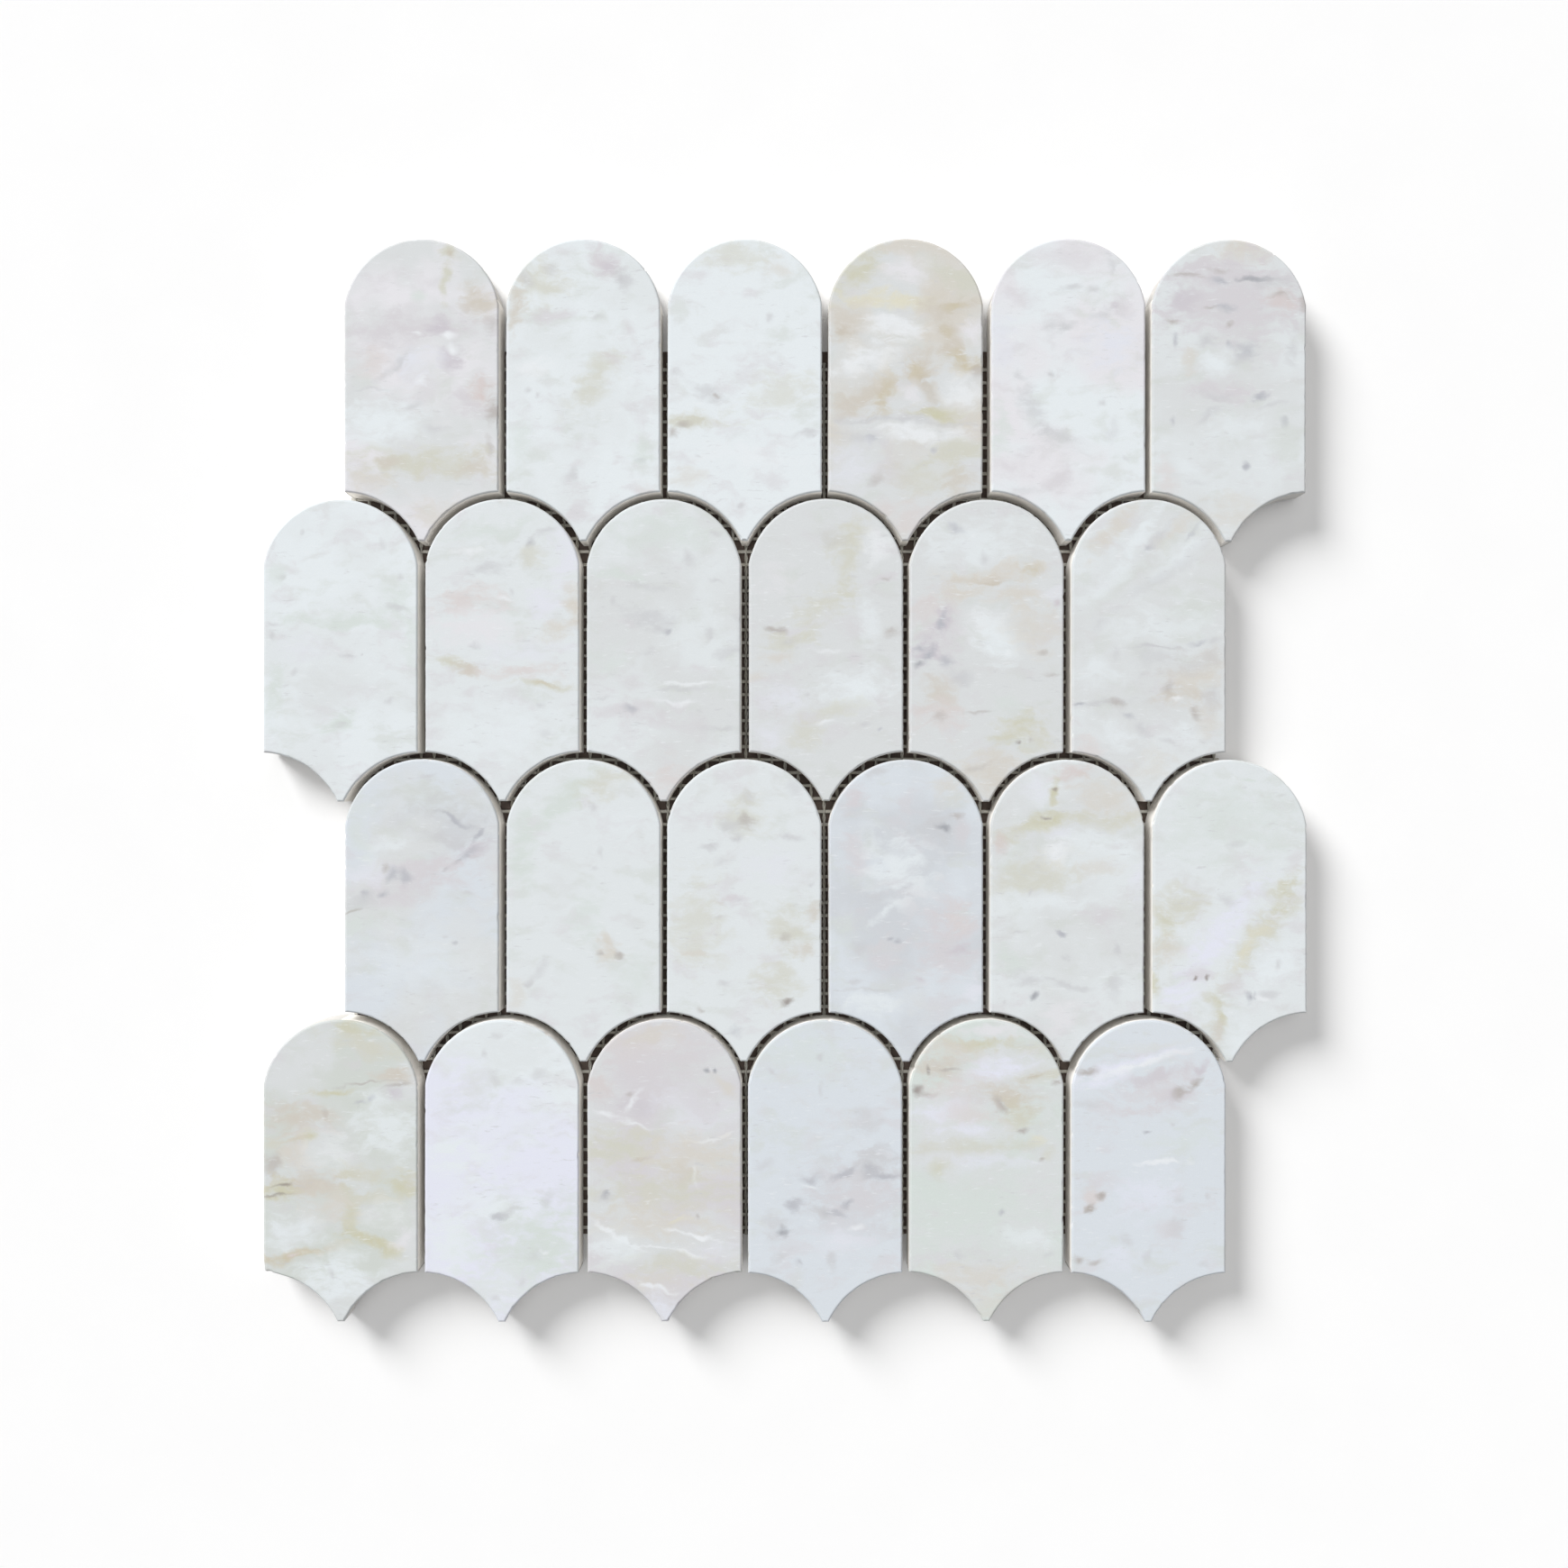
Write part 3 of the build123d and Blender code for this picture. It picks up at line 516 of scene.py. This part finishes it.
    "4.5": ("green", "grey", """
    pearl 3 19 18 4 .6; moss -2 15.5 18 3.5 .8; beige -10 13 18 8 .6; olive 12 14 14 4 -15 .5;
    lilac 3 8.5 18 6 12 .95; sand -13 8 16 7 .6; brown -16.3 7.8 1.2 3 .55; umber -9.5 7.8 6 1.2 .55;
    olive 15 7 14 4 5 .75; tan 13 7 6 2 15 .5; umber 19 4.5 3 1.4 .6; brown -19.5 2 3.4 2.4 .7;
    umber -16 1 6 1.6 .6; pink -10 2 14 6 .45; sand 6 0 16 8 -10 .75; moss 8 -5 10 10 .35; umber 3 -2.5 5 3 -30 .6;
    umber 9.7 -8.8 4 1.6 .75; cream 14 -11 6 3 -20 .5; lilac -14 -4 14 7 .55; pink -4 -5 14 5 .45;
    lilac -4 -8.5 16 3.5 .55; olive -6 -13 30 5 3 .55; lilac 0 -17 26 5 .45; moss -12.5 -19 6 4 20 .45;
    umber 16.2 -16.2 2.4 2.2 .7; olive 17.5 -15 4 4 .5; green -4 -33 40 22 .6; slate 4.7 -32.5 2.2 1.8 .6;
    ice 12 -39 14 6 .5; smoke -7 -43.7 3 3 .45; smoke 16 -44 4 2 30 .35; beige -2 -50 26 8 .5;
    umber 6 -55 4 3 30 .4; beige 0 -57 12 10 .4"""),
    "4.6": ("paleBlue", "paleBlue", """
    grey 2 14.5 26 2.4 5 .5; mauve -4 12 20 2.4 8 .5; lilac -6 9.5 26 4 14 .7; white -4 8.5 30 2.4 14 .6;
    mauve 4 3 22 10 20 .7; violet 2 6 18 2.4 15 .35; violet 8 1 8 4 30 .35; lilac -14 4.5 14 3.5 12 .7;
    umber 13.5 5 5 2 45 .75; umber 9.5 2.5 5 3 50 .6; violet 15 9 6 2 50 .6; umber -17.5 7.7 6 2.4 .65;
    smoke -18 -2 8 3 .4; mauve 0 -2 22 3 .5; slate -1.2 -8.3 2.6 1.2 -20 .75; smoke 5.3 -6.3 1.4 1.2 .5;
    white 4 -17.8 14 1 3 .6; green 10 -12 18 8 .3; mauve -14 -23 12 5 .45; pink -16.5 -27.5 6 5 .6;
    umber -14.2 -27.2 2.6 2.2 20 .9; umber -16.3 -30 2.4 3.4 30 .9; lilac 0 -27 18 12 .4; smoke 8 -28 4 3 .45;
    smoke 16.5 -28 1.4 2.4 .45; smoke 7 -36 4 6 .5; mauve 5 -37 8 8 .4; smoke -6.5 -39 4 3.5 .4;
    smoke .5 -43.5 2 5 .4; umber -19.6 -45.5 3 3.6 .8; umber -15 -45.5 4 2 20 .55; lilac -8 -44 12 6 .35;
    smoke 15.5 -47 3 2 .35"""),
}
marbleFinish = {
    "warp": 8.0, "fineWarp": 1.2,  # millimetres
    "ragged": 1.0, "boost": 1.32, "mist": 0.5, "dashes": 0.55, "flecks": 0.4,
    # the arris colour is darkened as painted shade; the wall cover sets how far the wall tone, painted light in the
    # joints and painted shade on open walls, covers the marble
    "gloss": 0.58, "glossChange": 0.07, "arrisDull": 0.25, "arrisPaintedShade": 0.86,
    "specular": 0.3, "sawnRoughness": 0.62, "paintedWallCover": 0.9, "bump": 0.0001,
    "openSide": 21.0, "openHead": 5.0, "openFoot": -48.0, "never": 99.0,  # millimetres from the middle of the arch
    "seedStep": (71.3, 37.9, 53.1),
    "scales": {  # per millimetre
        "warp": 0.08, "fineWarp": 0.5, "clouds": 0.045, "hue": 0.05, "cluster": 0.07, "crystal": 3.5,
        "mist": (0.11, 0.2, 0.15), "grain": (0.17, 0.34, 0.3), "dashes": (0.3, 1.2, 1.0),
        "sawLines": (0.5, 0.5, 6.0),
    },
    "limits": {  # where each noise starts and ends
        "clouds": (0.38, 0.62), "hue": (0.42, 0.58), "mist": (0.47, 0.7), "grain": (0.3, 0.7),
        "cluster": (0.42, 0.62), "dashes": (0.6, 0.74), "flecks": (0.4, 0.27), "crystal": (0.25, 0.75),
        "sawnCrystal": (0.3, 0.7),
        "polished": (0.15, 0.55), "level": (0.9, 0.99),  # how far a face looks up
    },
}


def makeVeinGroup():  # one mark laid over the colour below it, its edge broken up by the grain
    group = bpy.data.node_groups.new("veinMark", "ShaderNodeTree")
    group.interface.new_socket("Colour", in_out="OUTPUT", socket_type="NodeSocketColor")
    kinds = {"Colour": "Color", "Point": "Vector", "Grain": "Float", "Tint": "Color", "Ragged": "Float",
             "Middle": "Vector", "Turn": "Vector", "Reach": "Vector", "Strength": "Float"}
    for label, kind in kinds.items():
        group.interface.new_socket(label, in_out="INPUT", socket_type="NodeSocket" + kind)
    given = addNode(group, "NodeGroupInput").outputs
    sockets = {"Vector": "Point", "Location": "Middle", "Rotation": "Turn", "Scale": "Reach"}
    laying = {socket: given[label] for socket, label in sockets.items()}
    local = addNode(group, "ShaderNodeMapping", laying, vector_type="TEXTURE").outputs[0]
    reach = calc(group, "MULTIPLY_ADD", given["Grain"], given["Ragged"], 1.15)
    inside = calc(group, "SUBTRACT", reach, vec(group, "LENGTH", local))
    cover = ramp(group, inside, -0.4, 1.2, 0.0, given["Strength"])
    colour = blendColour(group, cover, given["Colour"], given["Tint"])
    group.links.new(colour, addNode(group, "NodeGroupOutput").inputs[0])
    return group


# walls past these lines take the painted shade grey
def openFrom(row, column):  # past these lines a stone's walls face no other stone; odd rows stand to the right
    never, side = marbleFinish["never"], marbleFinish["openSide"]
    lines = {"left": -never, "right": never, "head": never, "foot": -never}
    if column == 1:
        lines["left"] = -side if row % 2 else 0.0
    if column == stoneSizes["columns"]:
        lines["right"] = 0.0 if row % 2 else side
    if row == 1:
        lines["head"] = marbleFinish["openHead"]
    if row == stoneSizes["rows"]:
        lines["foot"] = marbleFinish["openFoot"]
    return lines


def makeMarble(name, middle, seed, look, edges, veinGroup):
    light, shade, marks = look
    finish, scales, limits = marbleFinish, marbleFinish["scales"], marbleFinish["limits"]
    material, tree, shader, where = newMaterial(name)
    shader["Specular IOR Level"].default_value = finish["specular"]

    def patches(kind, vector, detail, roughness, *ends):  # a noise between its limits
        return ramp(tree, noise(tree, vector, scales[kind], detail, roughness), *limits[kind], *ends)

    shift = (-middle[0] / mm, -middle[1] / mm, 0)
    toStone = {"Vector": where, "Scale": (1 / mm, 1 / mm, 1 / mm), "Location": shift}
    point = addNode(tree, "ShaderNodeMapping", toStone).outputs[0]
    seeded = vec(tree, "ADD", point, tuple(seed * step for step in finish["seedStep"]))
    centre = (0.5, 0.5, 0.5)
    broad = vec(tree, "SUBTRACT", noise(tree, seeded, scales["warp"], 3.0, 0.55, 1), centre)
    broad = vec(tree, "SCALE", broad, finish["warp"])
    close = vec(tree, "SUBTRACT", noise(tree, seeded, scales["fineWarp"], 4.0, 0.6, 1), centre)
    drift = vec(tree, "ADD", broad, vec(tree, "SCALE", close, finish["fineWarp"]))
    bent = vec(tree, "ADD", point, drift)
    bentSeed = vec(tree, "ADD", seeded, drift)

    # clouds and misty patches, then the marks
    clouds = patches("clouds", bentSeed, 3.0, 0.5)
    colour = blendColour(tree, clouds, marbleTones[light], marbleTones[shade])
    hue = blendColour(tree, patches("hue", seeded, 2.0, 0.5), marbleTones["mauve"], marbleTones["haze"])
    mist = patches("mist", bentSeed, 4.0, 0.55, 0.0, finish["mist"])
    colour = blendColour(tree, mist, colour, hue)
    grain = noise(tree, bentSeed, scales["grain"], 4.0, 0.58)
    edge = ramp(tree, grain, *limits["grain"], -0.5, 0.5)
    for mark in marks.split(";"):
        toneName, *numbers = mark.split()
        x, y, length, width, *turn, strength = map(float, numbers)
        broken = min(1.0, 0.25 + (length + width) / 18)  # small marks keep a smoother edge
        settings = {
            "Colour": colour, "Point": bent, "Grain": edge, "Tint": marbleTones[toneName], "Middle": (x, y, 0),
            "Ragged": finish["ragged"] * broken, "Turn": (0, 0, math.radians(sum(turn))),
            "Reach": (length / 2, width / 2, 1e6), "Strength": min(1.0, strength * finish["boost"]),
        }
        colour = addNode(tree, "ShaderNodeGroup", settings, node_tree=veinGroup).outputs[0]

    # short dashes along the grain, dark and white, in loose clusters
    cluster = patches("cluster", seeded, 2.0, 0.5)
    dashes = noise(tree, seeded, scales["dashes"], 3.0, 0.55)
    dark = ramp(tree, dashes, *limits["dashes"], 0.0, finish["dashes"])
    colour = blendColour(tree, calc(tree, "MULTIPLY", cluster, dark), colour, marbleTones["smoke"])
    pale = ramp(tree, dashes, *limits["flecks"], 0.0, finish["flecks"])
    pale = calc(tree, "MULTIPLY", ramp(tree, cluster, 0.0, 1.0, 1.0, 0.4), pale)
    colour = blendColour(tree, pale, colour, marbleTones["white"])
    crystal = noise(tree, seeded, scales["crystal"], 2.0, 0.6)
    colour = vec(tree, "SCALE", colour, ramp(tree, crystal, *limits["crystal"], 0.985, 1.02))

    # sawn walls and underside: painted light on the joint walls, painted shade on open walls; then the arris, with
    # painted shade and a duller gloss
    normal = addNode(tree, "ShaderNodeNewGeometry").outputs["True Normal"]
    facing = axesOf(tree, normal)["Z"]
    polished = ramp(tree, facing, *limits["polished"])
    level = ramp(tree, facing, *limits["level"])
    place = axesOf(tree, point)
    # walls that face no other stone, and the undersides, get the painted shade grey; joint walls get the near-white
    # painted light
    outer = calc(tree, "LESS_THAN", facing, -0.5)
    for side, axis, past in (("left", "X", "LESS_THAN"), ("right", "X", "GREATER_THAN"),
                             ("head", "Y", "GREATER_THAN"), ("foot", "Y", "LESS_THAN")):
        outer = calc(tree, "MAXIMUM", outer, calc(tree, past, place[axis], edges[side]))
    wall = blendColour(tree, outer, marbleTones["wallPaintedLightAndShade"], marbleTones["paintedShadeGrey"])
    # the wall tone covers most of the marble colour on walls: painted light in the joints, painted shade on open
    # walls
    wallPaintedLightAndShade = blendColour(tree, finish["paintedWallCover"], colour, wall)
    wallPaintedLightAndShade = vec(tree, "SCALE", wallPaintedLightAndShade, ramp(tree, crystal, *limits["sawnCrystal"], 0.96, 1.0))
    # painted shade: faces that look up less, the arris, get a darker colour
    colour = vec(tree, "SCALE", colour, ramp(tree, level, 0.0, 1.0, finish["arrisPaintedShade"], 1.0))
    plug(tree, shader["Base Color"], blendColour(tree, polished, wallPaintedLightAndShade, colour))
    gloss = calc(tree, "MULTIPLY_ADD", grain, finish["glossChange"], finish["gloss"])
    gloss = calc(tree, "ADD", gloss, ramp(tree, level, 0.0, 1.0, finish["arrisDull"], 0.0))
    rough = addNode(tree, "ShaderNodeMix", {0: polished, 2: finish["sawnRoughness"], 3: gloss})
    plug(tree, shader["Roughness"], rough.outputs[0])
    sawLines = noise(tree, point, scales["sawLines"], 3.0, 0.6)
    height = addNode(tree, "ShaderNodeMix", {0: polished, 2: sawLines, 3: calc(tree, "MULTIPLY", crystal, 0.08)})
    relief = {"Height": height.outputs[0], "Strength": 0.5, "Distance": finish["bump"]}
    plug(tree, shader["Normal"], addNode(tree, "ShaderNodeBump", relief).outputs[0])
    return material


veinGroup = makeVeinGroup()
stoneTree = makeStoneTree()
hand = Random(stoneSizes["seed"])
archRadius = (stoneSizes["Width"] ** 2 / 4 + stoneSizes["Arch Rise"] ** 2) / (2 * stoneSizes["Arch Rise"])
stones = []
for row in range(1, stoneSizes["rows"] + 1):
    for column in range(1, stoneSizes["columns"] + 1):
        node = f"stone_row{row}_col{column}"
        low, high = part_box(node)
        middle = ((low[0] + high[0]) / 2, high[1] - archRadius * mm)
        seed = row * stoneSizes["columns"] + column
        look = stoneMarks[f"{row}.{column}"]
        slip = [hand.uniform(-1, 1) * stoneSizes["shift"] * mm for axis in "xy"]
        sizes = dict(stoneSizes)
        sizes["Top"] = high[2] / mm + hand.uniform(-1, 0) * stoneSizes["height"]
        if (row, column) != stoneSizes["chipped"]:
            sizes["Corner Chip"] = 0.0
        sizes["Seed"] = float(seed)
        sizes["Turn"] = (0.0, 0.0, math.radians(hand.uniform(-1, 1) * stoneSizes["turn"]))
        sizes["Place"] = (middle[0] + slip[0], middle[1] + slip[1], 0.0)
        edges = openFrom(row, column)
        sizes["Material"] = makeMarble(f"marble_{row}_{column}", middle, seed, look, edges, veinGroup)
        stone = growMesh(f"marble_stone_{row}_{column}", stoneTree, sizes)
        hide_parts(node)
        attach(stone, "root")
        stones.append(stone)
print("stones:", len(stones), "of", len(stones[0].data.polygons), "faces")


# glass-fibre mesh

meshSizes = {
    "pitch": 3.7,  # millimetres
    "twistWidth": 0.27,  # the two yarns of a long strand turn round each other
    "twistHeight": 0.2,
    "middleHeight": 0.3,
    "longWidth": 0.52,
    "longThickness": 0.18,
    "crossWidth": 1.0,
    "crossThickness": 0.2,
    "wander": 0.12,
    "wanderScale": 60.0,  # per metre
    "seed": 5.0,
    "shade": tone(168, 165, 156), "light": tone(222, 220, 212), "coating": tone(196, 188, 168),
    "fibreScale": 9000, "alongScale": 500, "coatingScale": 90.0,  # per metre
    "fibreLimits": (0.3, 0.7), "coatingLimits": (0.45, 0.65), "coatingCover": 0.35,
    "roughness": (0.38, 0.6), "bump": 0.00004,
}


def strandLines(node, along):  # end to end lines of the strands, points at every crossing and half way
    across = 1 - along
    points = [vertex.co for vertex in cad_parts[node].data.vertices]
    edges = sorted({round(point[across], 6) for point in points})
    low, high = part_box(node)
    middle = (low[along] + high[along]) / 2
    step = meshSizes["pitch"] * mm / 2
    stops = [middle + k * step for k in range(-99, 100)]
    lines = []
    for first, second in zip(edges[::2], edges[1::2]):
        centre = (first + second) / 2
        ends = sorted({round(point[along], 6) for point in points if abs(point[across] - first) < 1e-5})
        for start, stop in zip(ends[::2], ends[1::2]):
            inner = [at for at in stops if start + 0.2 * step < at < stop - 0.2 * step]
            lines.append([(centre, at) if along else (at, centre) for at in [start, *inner, stop]])
    return lines, middle


def lineMesh(name, lines):
    mesh = bpy.data.meshes.new(name)
    points, edges = [], []
    for line in lines:
        edges += [(len(points) + k, len(points) + k + 1) for k in range(len(line) - 1)]
        points += [(x, y, 0.0) for x, y in line]
    mesh.from_pydata(points, edges, [])
    return mesh


def makeYarnTree(name, twisted):
    labels = ("Pitch", "Phase", "Twist Width", "Twist Height", "Middle Height", "Yarn Width", "Yarn Thickness",
              "Wander", "Seed")
    kinds = {"Lines": "Geometry", **{label: "Float" for label in labels}, "Material": "Material"}
    tree, size = newGeometryTree(name, kinds)
    runs = shape(tree, "MeshToCurve", {"Mesh": size["Lines"]})
    place = shape(tree, "InputPosition")
    wavy = {"Vector": place, "W": size["Seed"], "Scale": meshSizes["wanderScale"], "Detail": 1.0}
    drift = addNode(tree, "ShaderNodeTexNoise", wavy, noise_dimensions="4D")
    drift = vec(tree, "SUBTRACT", drift.outputs["Color"], (0.5, 0.5, 0.5))
    drift = vec(tree, "SCALE", drift, calc(tree, "MULTIPLY", size["Wander"], 2.0))
    drift = vec(tree, "MULTIPLY", drift, (1.0, 1.0, 0.0))
    turn = calc(tree, "SUBTRACT", axesOf(tree, place)["Y"], size["Phase"])
    turn = calc(tree, "MULTIPLY", calc(tree, "DIVIDE", turn, size["Pitch"]), math.pi)
    ring = shape(tree, "CurvePrimitiveCircle", {"Resolution": 4 if twisted else 6, "Radius": 0.5})
    flat = xyz(tree, size["Yarn Width"], size["Yarn Thickness"], 1.0)
    ring = shape(tree, "Transform", {"Geometry": ring, "Scale": flat})
    yarns = []
    for side in ((1.0, -1.0) if twisted else (0.0,)):
        sway = calc(tree, "MULTIPLY", calc(tree, "SINE", turn), size["Twist Width"])
        lift = calc(tree, "MULTIPLY", calc(tree, "COSINE", turn), size["Twist Height"])
        sway, lift = calc(tree, "MULTIPLY", sway, side), calc(tree, "MULTIPLY", lift, side)
        offset = xyz(tree, sway, 0.0, calc(tree, "ADD", lift, size["Middle Height"]))
        yarn = shape(tree, "SetPosition", {"Geometry": runs, "Offset": vec(tree, "ADD", drift, offset)})
        yarn = shape(tree, "SetCurveNormal", {"Curve": yarn}, mode="Z_UP")
        yarns.append(shape(tree, "CurveToMesh", {"Curve": yarn, "Profile Curve": ring, "Fill Caps": True}))
    rounded = shape(tree, "SetShadeSmooth", {"Geometry": joinAll(tree, yarns), "Shade Smooth": True})
    endGeometryTree(tree, rounded, size["Material"])
    return tree


def makeGlassYarn(name, stretch):
    material, tree, shader, where = newMaterial(name)
    fibres = noise(tree, where, stretch, 3.0, 0.6)
    coating = noise(tree, where, meshSizes["coatingScale"], 2.0, 0.5)
    coating = ramp(tree, coating, *meshSizes["coatingLimits"], 0.0, meshSizes["coatingCover"])
    bright = ramp(tree, fibres, *meshSizes["fibreLimits"])
    colour = blendColour(tree, bright, meshSizes["shade"], meshSizes["light"])
    plug(tree, shader["Base Color"], blendColour(tree, coating, colour, meshSizes["coating"]))
    plug(tree, shader["Roughness"], ramp(tree, fibres, *meshSizes["fibreLimits"], *meshSizes["roughness"]))
    bump = addNode(tree, "ShaderNodeBump", {"Height": fibres, "Strength": 0.4, "Distance": meshSizes["bump"]})
    plug(tree, shader["Normal"], bump.outputs[0])
    return material


def growYarns(kind, twisted, lines, stretch):
    material = makeGlassYarn("glass_yarn_" + kind, stretch)
    sizes = {"Phase": crossingY, "Seed": meshSizes["seed"], "Material": material}
    lengths = {"Pitch": "pitch", "Wander": "wander", "Twist Width": "twistWidth", "Twist Height": "twistHeight",
               "Middle Height": "middleHeight", "Yarn Width": kind + "Width", "Yarn Thickness": kind + "Thickness"}
    for label, size in lengths.items():
        sizes[label] = meshSizes[size] * mm
    tree = makeYarnTree(kind + "Yarns", twisted)
    return growMesh(f"mesh_{kind}_yarns", tree, sizes, lineMesh(kind + "Lines", lines))


longLines, crossingY = strandLines("mesh_long_strands", 1)
crossLines = strandLines("mesh_cross_strands", 0)[0]
fibre, along = meshSizes["fibreScale"], meshSizes["alongScale"]
longYarns = growYarns("long", True, longLines, (fibre, along, fibre))
crossYarns = growYarns("cross", False, crossLines, (along, fibre, fibre))
for yarns, node in ((longYarns, "mesh_long_strands"), (crossYarns, "mesh_cross_strands")):
    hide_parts(node)
    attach(yarns, "root")
print("mesh:", len(longLines), "long and", len(crossLines), "cross strands")


# floor, light and camera

stage = {  # corners and height in metres
    "floor": {"low": (-3.0, -3.0), "high": (3.0, 3.0), "z": -0.0004, "roughness": 0.9,
              "tones": (tone(254, 254, 254), tone(255, 255, 255))},
    # a dark sheet under the stones, seen only through the joints: it stands for the dark surface below the sheet
    # and darkens the joints as painted shade
    "jointShadeCard": {"low": (-0.122, -0.1292), "high": (0.122, 0.1222), "z": -0.0002, "roughness": 0.8,
             "tones": (tone(86, 73, 66), tone(104, 91, 83))},
}
lamps = {  # where the light comes from, strength, degrees across
    "keyLamp": ((-0.565, 0.67, 0.483), 3.18, 27),
    "fillLamp": ((0.32, 0.6, 0.73), 0.12, 60),
    "topLamp": ((0.05, 0.1, 1.0), 0.55, 50),
}
skyLevel = 0.29
cameraSizes = {"height": 0.44, "view": 0.4366, "x": -0.0003, "y": -0.001, "sensor": 36.0, "near": 0.01}


def makeFloor(name, low, high, z, roughness, tones):
    mesh = bpy.data.meshes.new(name)
    corners = [(low[0], low[1], z), (high[0], low[1], z), (high[0], high[1], z), (low[0], high[1], z)]
    mesh.from_pydata(corners, [], [(0, 1, 2, 3)])
    plane = bpy.data.objects.new(name, mesh)
    scene.collection.objects.link(plane)
    material, tree, shader, where = newMaterial(name)
    mottle = noise(tree, where, 40.0, 3.0, 0.5)
    plug(tree, shader["Base Color"], blendColour(tree, ramp(tree, mottle, 0.3, 0.7), *tones))
    shader["Roughness"].default_value = roughness
    mesh.materials.append(material)


def addSun(name, source, strength, angle):
    lamp = bpy.data.lights.new(name, "SUN")
    lamp.energy = strength
    lamp.angle = math.radians(angle)
    holder = bpy.data.objects.new(name, lamp)
    x, y, z = source
    holder.rotation_euler = (math.acos(z / math.sqrt(x * x + y * y + z * z)), 0, math.atan2(x, -y))
    scene.collection.objects.link(holder)


for name, given in stage.items():
    makeFloor(name, **given)
for name, (source, strength, angle) in lamps.items():
    addSun(name, source, strength, angle)

world = bpy.data.worlds.new("studio")  # white to the camera and in reflections, dimmer as light
scene.world = world
world.use_nodes = True
sky = world.node_tree
ray = addNode(sky, "ShaderNodeLightPath").outputs
seen = calc(sky, "MAXIMUM", ray["Is Glossy Ray"], ray["Is Transmission Ray"])
seen = calc(sky, "MAXIMUM", ray["Is Camera Ray"], seen)
level = calc(sky, "MULTIPLY_ADD", seen, 1.0 - skyLevel, skyLevel)
sky.nodes["Background"].inputs["Color"].default_value = (1.0, 1.0, 1.0, 1.0)
plug(sky, sky.nodes["Background"].inputs["Strength"], level)

lens = bpy.data.cameras.new("camera")
lens.sensor_width = cameraSizes["sensor"]
lens.lens = cameraSizes["sensor"] * (cameraSizes["height"] - cadBox[1][2]) / cameraSizes["view"]
lens.clip_start = cameraSizes["near"]
camera = bpy.data.objects.new("camera", lens)
camera.location = (cameraSizes["x"], cameraSizes["y"], cameraSizes["height"])
scene.collection.objects.link(camera)
scene.camera = camera
scene.view_settings.view_transform = "Standard"
print("stage, lamps and camera set")
